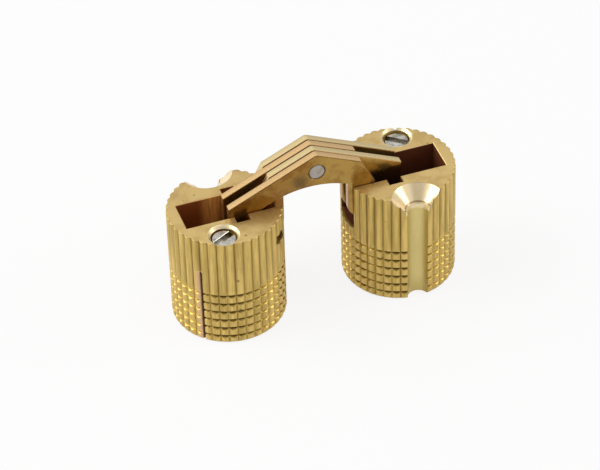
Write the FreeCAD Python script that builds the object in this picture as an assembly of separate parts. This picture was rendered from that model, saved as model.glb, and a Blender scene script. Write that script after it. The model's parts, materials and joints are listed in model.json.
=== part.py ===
import FreeCAD, Part
import cmath
import math
import os

from FreeCAD import Vector

# Invisible barrel hinge, in millimetres and degrees.
# Two fluted brass barrels sit in drilled holes, one in each leaf, and two forked links cross
# between them. Each link turns on a pivot pin in one barrel and slides in a track in the other.
# X runs along the two barrels, Y along every pin, Z up. The hinge is drawn fully open.

# Barrels
barrel_diameter = 14.0          # of the drilled hole that the barrel fills
barrel_gap = 7.74               # between the barrels when open
floor_thickness = 2.4           # brass under the slot
inner_wall = 2.5                # brass on the inner side, below the opening for the links
opening_depth = 6.4             # of that opening, below the top face
bottom_chamfer = 0.4

# Flutes along the barrel and grip rings round its lower half
flute_count = 40
flute_width = 0.36
flute_depth = 0.22
ring_count = 6
ring_pitch = 1.26
ring_width = 0.5
ring_depth = 0.17
lowest_ring = 1.1               # above the barrel's bottom

# Expander screw, which spreads the sawn barrel in its hole
screw_diameter = 3.0
screw_length = 8.5
screw_recess = 0.5              # of its head end, below the top face
screw_point = 0.35              # length of the cone point
screw_point_tip = 2.3           # diameter at the end of the point
screw_slot_width = 0.7
screw_slot_depth = 0.8
screw_slot_angle = 20.0
screw_setback = 1.69            # from the barrel's axis, away from the other barrel
screw_wall = 0.19               # brass between the screw and the bottom of the flutes
screw_mouth_chamfer = 0.2
saw_cut_width = 0.5
saw_cut_top = 4.8               # below the top face

# Half-round groove with a countersink, for the wood screw that pins the barrel to its leaf
fixing_groove_diameter = 2.6
countersink_diameter = 6.3

# Link plates
plate_thickness = 1.05
ridge_rise = 2.48               # of the ridge above the centre pin
ridge_radius = 0.6
ridge_slope = 24.8              # of both upper edges
shoulder_slope = 63.0           # of the cut end of the short arm
arch_drop = 2.02                # of the hollow lower edge's crown below the centre pin
arch_slide_gap = 1.18           # of the hollow's foot from the slide boss
arch_pivot_gap = 0.47           # of its other foot, produced to the top faces' level, from the pivot
slide_boss_diameter = 2.9
pivot_boss_diameter = 3.4

# Pins and their places in a barrel
center_pin_diameter = 1.95
pivot_pin_diameter = 1.5
slide_pin_diameter = 1.58
pivot_inset = 1.69              # of the pivot pin from the barrel's inner side
pivot_depth = 3.0               # of the pivot pin below the top face
slide_offset = 1.35             # of the track's mouth from the barrel's axis, towards the inner side
slide_engagement = 1.0          # of the slide pin in each wall of the slot
track_facets = 16               # short flats along each side of a track
track_end_facets = 8            # round each of its ends
closed_setback = 2.8            # of the centre pin past the barrels' axes when closed

# Fits
running_clearance = 0.03        # radial, of a link on its pin
plate_gap = 0.03                # between neighbouring plates
slot_clearance = 0.04           # between the outer plates and the slot's walls
track_clearance = 0.05          # radial, of a slide pin in its track
track_end_clearance = 0.06      # at the slide pin's ends
ridge_clearance = 0.07          # of the ridge from the slot's end when closed
floor_clearance = 0.3           # of the long arm from the slot's floor when closed
pivot_pin_recess = 0.05         # of the pivot pin's ends below the flutes
closed_gap = 0.2                # between the two top faces when closed
overcut = 1.0                   # of cutting tools past the faces they open

barrel_radius = barrel_diameter / 2
flute_angle = 2 * math.pi / flute_count
flute_root = barrel_radius - flute_depth
ridge_half_angle = flute_angle / 2 - flute_width / barrel_diameter
ridge_inradius = barrel_radius * math.cos(ridge_half_angle)
slot_end = closed_setback + ridge_rise + ridge_clearance
slot_inner_end = barrel_radius - inner_wall
center_pin_radius = center_pin_diameter / 2
pivot_pin_radius = pivot_pin_diameter / 2
slide_pin_radius = slide_pin_diameter / 2
slide_boss_radius = slide_boss_diameter / 2
pivot_boss_radius = pivot_boss_diameter / 2
screw_radius = screw_diameter / 2
screw_offset = math.sqrt((flute_root - screw_wall - screw_radius) ** 2 - screw_setback ** 2)

# Four plates side by side fill the slot
plate_count = 4
plate_pitch = plate_thickness + plate_gap
stack_half = (plate_count * plate_pitch - plate_gap) / 2
slot_half = stack_half + slot_clearance
slide_pin_half = slot_half + slide_engagement
track_half = slide_pin_half + track_end_clearance
track_radius = slide_pin_radius + track_clearance

# Linkage, as complex numbers in the plane of a barrel: the real part runs from its axis towards
# the other barrel, the imaginary part up from its top face. Closing swings the centre pin about
# the pivot pin, over the face to the barrel's outer half, and so its height when open follows
# from where it ends up.
half_spacing = barrel_radius + barrel_gap / 2
pivot = complex(barrel_radius - pivot_inset, -pivot_depth)
center_closed = complex(-closed_setback, closed_gap / 2)
link_reach = abs(center_closed - pivot)
center_pin_rise = math.sqrt(link_reach ** 2 - (half_spacing - pivot.real) ** 2) - pivot_depth
center_open = complex(half_spacing, center_pin_rise)
swing = cmath.phase((center_closed - pivot) / (center_open - pivot))

# The sliding link turns through the rest of the half turn. Its pin ends on the line it started on.
slide_turn = math.pi - swing
slide_reach = half_spacing - slide_offset
slide_rise = (slide_offset - center_closed.real + slide_reach * math.cos(slide_turn)) / math.sin(slide_turn)
slide_open = complex(slide_offset, center_pin_rise - slide_rise)


def slide_place(travel):
    """Slide pin in its barrel after a share of the closing travel, and its direction there."""
    center_arm = (center_open - pivot) * cmath.exp(1j * swing * travel)
    slide_arm = (slide_open - center_open) * cmath.exp(1j * slide_turn * travel)
    heading = 1j * swing * center_arm + 1j * slide_turn * slide_arm
    return pivot + center_arm + slide_arm, heading / abs(heading)


slide_closed = slide_place(1.0)[0]
slot_depth = -slide_closed.imag + slide_boss_radius + floor_clearance
barrel_length = slot_depth + floor_thickness

# Clear of the flutes all round its slanting way out of the barrel
pivot_pin_edge = pivot.real + pivot_pin_radius
pivot_pin_half = math.sqrt(flute_root ** 2 - pivot_pin_edge ** 2) - pivot_pin_recess


def box(x_range, y_range, z_range):
    size = [high - low for low, high in (x_range, y_range, z_range)]
    return Part.makeBox(*size, Vector(x_range[0], y_range[0], z_range[0]))


def cross_cylinder(place, radius, half_length):
    """Cylinder along Y, centred on the middle plane, at a place in the XZ plane."""
    start = Vector(place.real, -half_length, place.imag)
    return Part.makeCylinder(radius, 2 * half_length, start, Vector(0, 1, 0))


def revolved(profile):
    """Solid turned about Z from (radius, height) points."""
    face = flat_face([Vector(radius, 0, height) for radius, height in profile])
    return face.revolve(Vector(0, 0, 0), Vector(0, 0, 1), 360)


def flat_face(points):
    return Part.Face(Part.makePolygon(points + points[:1]))


def barrel_blank():
    """Barrel with one flat side for each ridge and with its grip rings, below a top face at height 0."""
    profile = [(ridge_inradius, 0)]
    for ring in reversed(range(ring_count)):
        height = lowest_ring + ring * ring_pitch - barrel_length
        profile.append((ridge_inradius, height + ring_width / 2))
        profile.append((ridge_inradius - ring_depth, height))
        profile.append((ridge_inradius, height - ring_width / 2))
    profile.append((ridge_inradius, bottom_chamfer - barrel_length))
    profile.append((ridge_inradius - bottom_chamfer, -barrel_length))

    levels = []
    for inradius, height in profile:
        corner = inradius / math.cos(flute_angle / 2)
        corners = [cmath.rect(corner, side * flute_angle) for side in range(flute_count)]
        levels.append([Vector(place.real, place.imag, height) for place in corners])
    faces = [flat_face(levels[0]), flat_face(levels[-1])]
    for upper, lower in zip(levels, levels[1:]):
        for side in range(flute_count):
            faces.append(flat_face([upper[side - 1], upper[side], lower[side], lower[side - 1]]))
    shell = Part.Shell(faces)
    shell.sewShape()
    return Part.Solid(shell)


def flute_cutters():
    """One V groove at each corner of the blank, over its whole length."""
    outside = barrel_radius + flute_depth
    corners = [(flute_root, 0), (outside, flute_width), (outside, -flute_width)]
    section = flat_face([Vector(x, y, -barrel_length - overcut) for x, y in corners])
    groove = section.extrude(Vector(0, 0, barrel_length + 2 * overcut))
    cutters = []
    for index in range(flute_count):
        cutter = groove.copy()
        cutter.rotate(Vector(0, 0, 0), Vector(0, 0, 1), math.degrees(index * flute_angle))
        cutters.append(cutter)
    return cutters


def slot_cutter():
    """Slot for the links, open at the top and at the upper part of the barrel's inner side."""
    width = (-slot_half, slot_half)
    well = box((-slot_end, slot_inner_end), width, (-slot_depth, overcut))
    opening = box((0, barrel_radius + overcut), width, (-opening_depth, overcut))
    return well.fuse(opening)


def track_end(place, heading):
    """Half-round end of a track, from the left of its heading to the right."""
    sweep = [math.pi * (0.5 - step / track_end_facets) for step in range(1, track_end_facets)]
    return [place + heading * cmath.rect(track_radius, angle) for angle in sweep]


def track_cutters():
    """Track of the slide pin in both walls: a straight mouth, and the pin's path as the hinge closes."""
    places = [slide_place(step / track_facets) for step in range(track_facets + 1)]
    left_side = [place + 1j * heading * track_radius for place, heading in places]
    right_side = [place - 1j * heading * track_radius for place, heading in places]
    first, first_heading = places[0]
    rim = track_end(first, -first_heading) + left_side + track_end(*places[-1]) + right_side[::-1]

    # In a tight bend the inner side doubles back over the track, and those corners drop out
    inside = 0.999 * track_radius
    outline = [corner for corner in rim if all(abs(corner - place) > inside for place, heading in places)]
    section = flat_face([Vector(corner.real, -track_half, corner.imag) for corner in outline])
    path = section.extrude(Vector(0, 2 * track_half, 0))
    mouth = box((slide_offset - track_radius, slide_offset + track_radius),
                (-track_half, track_half), (slide_open.imag, overcut))
    return [path, mouth]


def screw_profile(radius, top):
    """Outline of the expander screw, or of its hole, up to a given height."""
    shoulder = -screw_recess - screw_length + screw_point
    tip = shoulder - screw_point
    return [(0, top), (radius, top), (radius, shoulder), (screw_point_tip / 2, tip), (0, tip)]


def screw_hole_cutter():
    hole = revolved(screw_profile(screw_radius, overcut))
    chamfer = Part.makeCone(screw_radius, screw_radius + screw_mouth_chamfer + overcut,
                            screw_mouth_chamfer + overcut, Vector(0, 0, -screw_mouth_chamfer))
    return hole.fuse(chamfer)


def saw_cut_cutter():
    """Cut from the barrel's outer side to the expander screw, open at the bottom."""
    return box((-barrel_radius - overcut, -screw_setback),
               (-screw_offset - saw_cut_width / 2, -screw_offset + saw_cut_width / 2),
               (-barrel_length - overcut, -saw_cut_top))


def fixing_groove_cutter():
    """Half-round groove down the barrel's side and its right-angled countersink."""
    groove_radius = fixing_groove_diameter / 2
    sink_depth = (countersink_diameter - fixing_groove_diameter) / 2
    bottom = Vector(0, barrel_radius, -barrel_length - overcut)
    groove = Part.makeCylinder(groove_radius, barrel_length + 2 * overcut, bottom)
    sink = Part.makeCone(groove_radius, groove_radius + sink_depth + overcut, sink_depth + overcut,
                         Vector(0, barrel_radius, -sink_depth))
    return groove.fuse(sink)


def pivot_hole_cutter():
    """Hole for the pivot pin, drilled from the front through the slot and blind in the wall behind it."""
    entry = -barrel_radius - overcut
    start = Vector(pivot.real, entry, pivot.imag)
    return Part.makeCylinder(pivot_pin_radius, pivot_pin_half - entry, start, Vector(0, 1, 0))


def barrel():
    """Left barrel about its own axis, with its top face at height 0."""
    screw_hole = screw_hole_cutter()
    screw_hole.translate(Vector(-screw_setback, -screw_offset, 0))
    turned = barrel_blank().cut(flute_cutters())
    cuts = [slot_cutter(), pivot_hole_cutter(), screw_hole, saw_cut_cutter(), fixing_groove_cutter()]
    for cutter in cuts + track_cutters():
        turned = turned.cut(cutter)
    return turned.Solids[0]


def expander_screw():
    """Cone-pointed grub screw with a screwdriver slot, in its place in the left barrel."""
    body = revolved(screw_profile(screw_radius, -screw_recess))
    slot = box((-screw_diameter, screw_diameter), (-screw_slot_width / 2, screw_slot_width / 2),
               (-screw_recess - screw_slot_depth, overcut))
    slot.rotate(Vector(0, 0, 0), Vector(0, 0, 1), screw_slot_angle)
    screw = body.cut(slot)
    screw.translate(Vector(-screw_setback, -screw_offset, 0))
    return screw


def arc(center, radius, start, end):
    """Arc in the XZ plane between two angles."""
    points = [center + cmath.rect(radius, angle) for angle in (start, (start + end) / 2, end)]
    return Part.Arc(*[Vector(point.real, 0, point.imag) for point in points]).toShape()


def line(start, end):
    return Part.makeLine(Vector(start.real, 0, start.imag), Vector(end.real, 0, end.imag))


def plate_outline():
    """Link plate with its ridge at X 0 and its long arm towards -X."""
    slope = math.radians(ridge_slope)
    ridge = center_pin_rise + ridge_rise
    slide = slide_open - half_spacing
    own_pivot = complex(half_spacing - pivot.real, -pivot_depth)

    # Upper edges: tip of the long arm, rounded ridge, shoulder over the pivot, heel beside it
    tip = complex(slide.real - slide_boss_radius, 0)
    tip += 1j * (ridge + tip.real * math.tan(slope))
    shoulder = complex(own_pivot.real, ridge - own_pivot.real * math.tan(slope))
    heel = shoulder + pivot_boss_radius * complex(1, -math.tan(math.radians(shoulder_slope)))
    ridge_center = complex(0, ridge - ridge_radius / math.cos(slope))
    ridge_left = ridge_center + cmath.rect(ridge_radius, math.pi / 2 + slope)
    ridge_right = ridge_center + cmath.rect(ridge_radius, math.pi / 2 - slope)

    # Lower edge: bosses at both ends, and between them a hollow that springs from the top faces' level
    arch_rise = center_pin_rise - arch_drop
    arch_feet = (slide.real + slide_boss_radius + arch_slide_gap, own_pivot.real - arch_pivot_gap)
    arch_half = (arch_feet[1] - arch_feet[0]) / 2
    arch_radius = (arch_half ** 2 + arch_rise ** 2) / (2 * arch_rise)
    arch_center = complex(sum(arch_feet) / 2, arch_rise - arch_radius)
    arch_left = math.pi - math.asin(-arch_center.imag / arch_radius)
    arch_right = math.acos((own_pivot.real - pivot_boss_radius - arch_center.real) / arch_radius)
    arch_foot = arch_center + cmath.rect(arch_radius, arch_left)
    arch_end = arch_center + cmath.rect(arch_radius, arch_right)
    to_foot = arch_foot - slide
    tangent = cmath.phase(to_foot) - math.acos(slide_boss_radius / abs(to_foot))

    edges = [
        line(tip, ridge_left),
        arc(ridge_center, ridge_radius, math.pi / 2 + slope, math.pi / 2 - slope),
        line(ridge_right, shoulder),
        line(shoulder, heel),
        line(heel, own_pivot + pivot_boss_radius),
        arc(own_pivot, pivot_boss_radius, 0, -math.pi),
        line(own_pivot - pivot_boss_radius, arch_end),
        arc(arch_center, arch_radius, arch_right, arch_left),
        line(arch_foot, slide + cmath.rect(slide_boss_radius, tangent)),
        arc(slide, slide_boss_radius, tangent, -math.pi),
        line(slide - slide_boss_radius, tip),
    ]
    holes = {"center": complex(0, center_pin_rise), "pivot": own_pivot, "slide": slide}
    return Part.Face(Part.Wire(edges)), holes


def link_plate(layer, center_hole_radius):
    """Plate in one of the four layers, counted from the front, with its long arm towards -X."""
    face, holes = plate_outline()
    blank = face.extrude(Vector(0, plate_thickness, 0))
    hole_radii = {
        "center": center_hole_radius,
        "pivot": pivot_pin_radius + running_clearance,
        "slide": slide_pin_radius,
    }
    drills = [cross_cylinder(place, hole_radii[name], 2 * plate_thickness) for name, place in holes.items()]
    plate = blank.cut(drills)
    plate.translate(Vector(0, layer * plate_pitch - stack_half, 0))
    return plate


def turned_over(shape):
    """The same piece on the other side: half a turn about the hinge's upright axis."""
    copy = shape.copy()
    copy.rotate(Vector(0, 0, 0), Vector(0, 0, 1), 180)
    return copy


# Left-hand pieces about the hinge's middle, with the top faces at height 0
fixed_hole = center_pin_radius
running_hole = center_pin_radius + running_clearance
left_barrel = barrel()
left_screw = expander_screw()
left_pivot_pin = cross_cylinder(pivot, pivot_pin_radius, pivot_pin_half)
left_slide_pin = cross_cylinder(slide_open, slide_pin_radius, slide_pin_half)
for piece in (left_barrel, left_screw, left_pivot_pin, left_slide_pin):
    piece.translate(Vector(-half_spacing, 0, 0))

nodes = {
    "left_barrel": left_barrel,
    "left_expander_screw": left_screw,
    "left_pivot_pin": left_pivot_pin,
    "left_slide_pin": left_slide_pin,
    "right_barrel": turned_over(left_barrel),
    "right_expander_screw": turned_over(left_screw),
    "right_pivot_pin": turned_over(left_pivot_pin),
    "right_slide_pin": turned_over(left_slide_pin),
    "center_pin": cross_cylinder(complex(0, center_pin_rise), center_pin_radius, stack_half),
    "link_a_outer_plate": link_plate(0, fixed_hole),
    "link_a_inner_plate": link_plate(2, fixed_hole),
    "link_b_inner_plate": turned_over(link_plate(2, running_hole)),
    "link_b_outer_plate": turned_over(link_plate(0, running_hole)),
}

# The finished hinge stands on the bottoms of its barrels
os.makedirs("parts", exist_ok=True)
for name, shape in nodes.items():
    shape.translate(Vector(0, 0, barrel_length))
    shape.exportStep(f"parts/{name}.step")
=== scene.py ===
import json
import math
import bmesh
import bpy
import numpy as np
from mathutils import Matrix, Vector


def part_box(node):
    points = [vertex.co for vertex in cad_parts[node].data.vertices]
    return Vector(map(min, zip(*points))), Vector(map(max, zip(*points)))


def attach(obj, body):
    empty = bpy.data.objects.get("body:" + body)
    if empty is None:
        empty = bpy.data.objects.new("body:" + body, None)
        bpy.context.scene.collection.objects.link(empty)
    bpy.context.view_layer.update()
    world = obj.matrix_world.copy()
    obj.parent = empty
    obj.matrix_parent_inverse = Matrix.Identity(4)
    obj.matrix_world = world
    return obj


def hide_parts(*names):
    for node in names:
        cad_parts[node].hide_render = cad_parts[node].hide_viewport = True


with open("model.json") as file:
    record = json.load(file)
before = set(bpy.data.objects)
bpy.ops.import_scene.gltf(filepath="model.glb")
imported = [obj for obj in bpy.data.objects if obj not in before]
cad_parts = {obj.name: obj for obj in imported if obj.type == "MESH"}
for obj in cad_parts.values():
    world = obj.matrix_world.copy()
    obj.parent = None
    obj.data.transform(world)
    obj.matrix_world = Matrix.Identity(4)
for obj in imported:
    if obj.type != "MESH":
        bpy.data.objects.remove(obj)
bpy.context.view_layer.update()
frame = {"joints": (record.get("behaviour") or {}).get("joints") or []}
mm = 0.001
clear = 1.0  # how far cutters reach past what they cut, mm
sharpAngle = math.radians(30)  # edges sharper than this stay crisp


def boxMm(node):
    return [np.array(corner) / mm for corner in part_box(node)]


# Pieces are worked out in millimetres in the left barrel's own frame: x from its axis towards the other
# barrel, y along the pins, z up from its top face. The right barrel is the left one turned half round.
barrelLow, barrelHigh = boxMm("left_barrel")
barrelAxis = (barrelLow[0] + barrelHigh[0]) / 2
barrelRadius = (barrelHigh[1] - barrelLow[1]) / 2
barrelLength = barrelHigh[2] - barrelLow[2]
topLevel = barrelHigh[2]
joints = {joint["name"]: joint for joint in frame["joints"]}
swing = math.radians(joints["left_pivot"]["range_deg"][1])


def planePlace(point):
    # a point of the hinge as a complex number in the left barrel's upright plane
    return complex(point[0] / mm - barrelAxis, point[2] / mm - topLevel)


def nodeMiddle(node):
    low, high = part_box(node)
    return planePlace((low + high) / 2)


pivotPlace = planePlace(joints["left_pivot"]["pos_m"])
centerPlace = planePlace(joints["center_pivot"]["pos_m"])
slidePlace = nodeMiddle("left_slide_pin")
print("frame: barrel radius %.3f, length %.3f, closing turn %.1f"
      % (barrelRadius, barrelLength, math.degrees(swing)))


# Meshes

def closedTube(rings):
    # a grid of rings, rows x columns x 3: quads between neighbouring rings, one flat face at each end
    rows, columns = rings.shape[:2]
    point = np.arange(rows * columns).reshape(rows, columns)
    beside = np.roll(point, -1, axis=1)
    quads = np.stack([point[:-1], beside[:-1], beside[1:], point[1:]], axis=-1).reshape(-1, 4)
    faces = quads.tolist() + [point[0, ::-1].tolist(), point[-1].tolist()]
    return rings.reshape(-1, 3), faces


def addObject(name, data):
    made = bpy.data.objects.new(name, data)
    bpy.context.scene.collection.objects.link(made)
    return made


def addSolid(name, shape):
    points, faces = shape
    mesh = bpy.data.meshes.new(name)
    mesh.from_pydata(points.tolist(), [], faces)
    probe = bmesh.new()
    probe.from_mesh(mesh)
    insideOut = probe.calc_volume(signed=True) < 0
    probe.free()
    if insideOut:
        mesh.flip_normals()
    return addObject(name, mesh)


def cutAway(piece, cutterShapes):
    # takes closed shapes out of a piece, one after another
    cutters = [addSolid("cutter", shape) for shape in cutterShapes]
    for cutter in cutters:
        cut = piece.modifiers.new("cut", "BOOLEAN")
        cut.operation = "DIFFERENCE"
        cut.solver = "MANIFOLD"
        cut.object = cutter
    bpy.context.view_layer.update()
    carved = bpy.data.meshes.new_from_object(piece.evaluated_get(bpy.context.evaluated_depsgraph_get()))
    piece.modifiers.clear()
    piece.data = carved
    for cutter in cutters:
        bpy.data.objects.remove(cutter)


def around(count):
    return np.linspace(0, 2 * math.pi, count, endpoint=False)


def turnedShape(radius, z, center):
    # turned about an upright axis: radius is rows x columns, z is one height for each row
    angle = around(radius.shape[1])
    x = center[0] + radius * np.cos(angle)
    y = center[1] + radius * np.sin(angle)
    return closedTube(np.stack([x, y, np.broadcast_to(z[:, None], x.shape)], axis=-1))


def crossTurned(radius, y, place, columns):
    # turned about an axis along y through a place: one radius and one y for each row
    angle = around(columns)
    x = place.real + radius[:, None] * np.cos(angle)
    z = place.imag + radius[:, None] * np.sin(angle)
    return closedTube(np.stack([x, np.broadcast_to(y[:, None], x.shape), z], axis=-1))


def crossPrism(outline, low, high):
    # an outline in the upright plane, as complex numbers, carried along y
    rings = [np.stack([outline.real, np.full(outline.shape, y), outline.imag], axis=-1) for y in (low, high)]
    return closedTube(np.stack(rings))


def taperedBox(low, high, zLow, zHigh):
    # a box whose lower and upper rectangles, (xMin, xMax, yMin, yMax), may differ
    rings = [[(x0, y0, z), (x1, y0, z), (x1, y1, z), (x0, y1, z)]
             for (x0, x1, y0, y1), z in ((low, zLow), (high, zHigh))]
    return closedTube(np.array(rings, float))


def roundedRim(edge, steps):
    # quarter round: how far in and how far along each row lies
    turn = np.linspace(0, math.pi / 2, steps)
    return edge * (1 - np.sin(turn)), edge * (1 - np.cos(turn))


def bothRims(low, high, edge, steps):
    # rows of a piece between two faces, rounded at both: how far along y and how far in each row lies
    edgeIn, edgeAlong = roundedRim(edge, steps)
    y = np.concatenate([low + edgeAlong, (high - edgeAlong)[::-1]])
    return y, np.concatenate([edgeIn, edgeIn[::-1]])


def threadedRadius(radius, depth, pitch, z, columns):
    # a radius that rises and falls once for each pitch, and climbs one pitch in each turn
    phase = z[:, None] / pitch - np.arange(columns) / columns
    return radius + depth * (1 - np.abs(2 * (phase % 1) - 1))


def finishPiece(piece, material, body, node, turned=False):
    # to the hinge's own place and metres; turned is half a turn about the hinge's upright axis
    mesh = piece.data
    points = np.empty(len(mesh.vertices) * 3, np.float32)
    mesh.vertices.foreach_get("co", points)
    points = points.reshape(-1, 3) + np.array([barrelAxis, 0, topLevel], np.float32)
    if turned:
        points[:, :2] *= -1
    mesh.vertices.foreach_set("co", (points * mm).ravel())
    mesh.polygons.foreach_set("use_smooth", np.ones(len(mesh.polygons), bool))
    mesh.set_sharp_from_angle(angle=sharpAngle)
    mesh.update()
    mesh.materials.clear()
    mesh.materials.append(material)
    mesh.name = piece.name
    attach(piece, body)
    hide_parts(node)


# Shader building. A range in a finish is where an effect starts and where it is whole, then its least and
# its most where these aren't 0 and 1: places in millimetres, stain and grain in the noise's own values.

def feed(tree, socket, value):
    # a link from another node's socket, or a plain value
    if isinstance(value, bpy.types.NodeSocket):
        tree.links.new(value, socket)
    else:
        socket.default_value = value


def addNode(tree, kind, inputs=None, **settings):
    made = tree.nodes.new(kind)
    for name, value in settings.items():
        setattr(made, name, value)
    for name, value in (inputs or {}).items():
        feed(tree, made.inputs[name], value)
    return made


def mathNode(tree, operation, *values):
    return addNode(tree, "ShaderNodeMath", dict(enumerate(values)), operation=operation).outputs[0]


def product(tree, first, *others):
    for value in others:
        first = mathNode(tree, "MULTIPLY", first, value)
    return first


def distance(tree, x, y):
    # how far a point of a plane lies from its origin
    return mathNode(tree, "SQRT", mathNode(tree, "ADD", product(tree, x, x), product(tree, y, y)))


def offFrom(tree, value, level):
    # how far a value lies from a level, to either side
    return mathNode(tree, "ABSOLUTE", mathNode(tree, "SUBTRACT", value, level))


def shifted(tree, mask, usual, more):
    # usual, with more added where the mask is 1
    return mathNode(tree, "MULTIPLY_ADD", mask, more, usual)


def rangeNode(tree, value, start, end, lowest=0.0, highest=1.0):
    # smooth step from lowest at start to highest at end
    inputs = {"Value": value, "From Min": start, "From Max": end, "To Min": lowest, "To Max": highest}
    return addNode(tree, "ShaderNodeMapRange", inputs, interpolation_type="SMOOTHSTEP").outputs["Result"]


def mixColor(tree, share, first, second):
    made = addNode(tree, "ShaderNodeMix", data_type="RGBA")
    for index, value in ((0, share), (6, first), (7, second)):  # the node's factor and its two colours
        feed(tree, made.inputs[index], (*value, 1) if isinstance(value, tuple) else value)
    return made.outputs[2]


def newGroup(name, inputs, outputs):
    group = bpy.data.node_groups.new(name, "ShaderNodeTree")
    for label, kind, value in inputs:
        socket = group.interface.new_socket(label, in_out="INPUT", socket_type=kind)
        if value is not None:
            socket.default_value = value
    for label in outputs:
        group.interface.new_socket(label, in_out="OUTPUT", socket_type="NodeSocketFloat")
    return group, group.nodes.new("NodeGroupInput").outputs, group.nodes.new("NodeGroupOutput").inputs


def placeGroup(tree, group, inputs):
    return addNode(tree, "ShaderNodeGroup", inputs, node_tree=group).outputs


def newMaterial(name):
    material = bpy.data.materials.new(name)
    material.use_nodes = True
    tree = material.node_tree
    tree.nodes.clear()
    shader = tree.nodes.new("ShaderNodeBsdfPrincipled")
    output = tree.nodes.new("ShaderNodeOutputMaterial")
    tree.links.new(shader.outputs[0], output.inputs[0])
    coords = addNode(tree, "ShaderNodeTexCoord").outputs["Object"]
    return material, tree, shader.inputs, coords


def inMillimetres(tree, coords):
    scaled = addNode(tree, "ShaderNodeVectorMath", {0: coords, "Scale": 1 / mm}, operation="SCALE")
    parts = addNode(tree, "ShaderNodeSeparateXYZ", {"Vector": scaled.outputs[0]}).outputs
    return [parts[axis] for axis in "XYZ"]


def addBump(tree, shaderInputs, height, strength, depth):
    bump = addNode(tree, "ShaderNodeBump", {"Height": height, "Strength": strength, "Distance": depth * mm})
    tree.links.new(bump.outputs[0], shaderInputs["Normal"])


def perMetre(group, size):
    # a texture's scale from a size in millimetres
    return mathNode(group, "DIVIDE", 1 / mm, size)


def buildTarnish():
    # cloudy staining: two noises of different size, the broad one pushed apart by a contrast value
    spreadOfOne, timesFiner = 2.2, 9.0
    group, given, out = newGroup(
        "tarnish",
        [("Vector", "NodeSocketVector", None), ("Size mm", "NodeSocketFloat", 2.0),
         ("Contrast", "NodeSocketFloat", 1.0)],
        ["Stain", "Fine"])
    scale = perMetre(group, given["Size mm"])
    broad = addNode(group, "ShaderNodeTexNoise",
                    {"Vector": given["Vector"], "Scale": scale, "Detail": 4.0, "Roughness": 0.6})
    fine = addNode(group, "ShaderNodeTexNoise",
                   {"Vector": given["Vector"], "Scale": product(group, scale, timesFiner), "Detail": 3.0})
    centred = mathNode(group, "SUBTRACT", broad.outputs["Fac"], 0.5)
    spread = mathNode(group, "MULTIPLY_ADD", centred, product(group, given["Contrast"], spreadOfOne), 0.5)
    group.links.new(spread, out["Stain"])
    group.links.new(fine.outputs["Fac"], out["Fine"])
    return group


def buildDrawLines():
    # fine parallel lines left by a tool or a die: noise squeezed across the lines and stretched along them
    group, given, out = newGroup(
        "drawLines",
        [("Vector", "NodeSocketVector", None), ("Across", "NodeSocketVector", (1.0, 1.0, 0.05)),
         ("Size mm", "NodeSocketFloat", 0.2)],
        ["Lines"])
    squeezed = addNode(group, "ShaderNodeVectorMath", {0: given["Vector"], 1: given["Across"]},
                       operation="MULTIPLY").outputs[0]
    noise = addNode(group, "ShaderNodeTexNoise",
                    {"Vector": squeezed, "Scale": perMetre(group, given["Size mm"]),
                     "Detail": 3.0, "Roughness": 0.65})
    group.links.new(noise.outputs["Fac"], out["Lines"])
    return group


def buildSpecks():
    # scattered dark pits: the middles of random cells, of which only a share is chosen
    pitEdge, pitMiddle = 0.16, 0.05  # in cells
    group, given, out = newGroup(
        "specks",
        [("Vector", "NodeSocketVector", None), ("Spacing mm", "NodeSocketFloat", 1.5),
         ("Share", "NodeSocketFloat", 0.3)],
        ["Specks"])
    scale = perMetre(group, given["Spacing mm"])
    cells = addNode(group, "ShaderNodeTexVoronoi",
                    {"Vector": given["Vector"], "Scale": scale, "Randomness": 1.0}).outputs
    chance = addNode(group, "ShaderNodeSeparateColor", {"Color": cells["Color"]}).outputs[0]
    chosen = mathNode(group, "LESS_THAN", chance, given["Share"])
    spot = rangeNode(group, cells["Distance"], pitEdge, pitMiddle)
    group.links.new(product(group, spot, chosen), out["Specks"])
    return group


tarnish = buildTarnish()
drawLines = buildDrawLines()
specks = buildSpecks()
print("shader groups: tarnish, draw lines, specks")


def toolLines(tree, coords, across, size):
    return placeGroup(tree, drawLines, {"Vector": coords, "Across": across, "Size mm": size})["Lines"]


steelWear = {"cloud": (0.4, 0.9), "roughGrain": (0.2, 0.8, -0.05, 0.1),
             "lines": 0.6, "grain": 0.4, "bump": 0.25, "bumpDepth": 0.04}


def steel(name, look, wear):
    # cloudy stain over bright metal, with fine lines
    material, tree, shader, coords = newMaterial(name)
    cloud = placeGroup(tree, tarnish, {"Vector": coords, "Size mm": 0.9, "Contrast": 1.2})
    lines = toolLines(tree, coords, look["linesAcross"], 0.1)
    stained = rangeNode(tree, cloud["Stain"], *wear["cloud"])
    tree.links.new(mixColor(tree, stained, look["bright"], look["stain"]), shader["Base Color"])
    rough = mathNode(tree, "ADD", rangeNode(tree, cloud["Fine"], *wear["roughGrain"]), look["roughness"])
    tree.links.new(rough, shader["Roughness"])
    shader["Metallic"].default_value = 1.0
    height = mathNode(tree, "ADD", product(tree, lines, wear["lines"]),
                      product(tree, cloud["Fine"], wear["grain"]))
    addBump(tree, shader, height, wear["bump"], wear["bumpDepth"])
    return material


# Barrels

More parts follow.
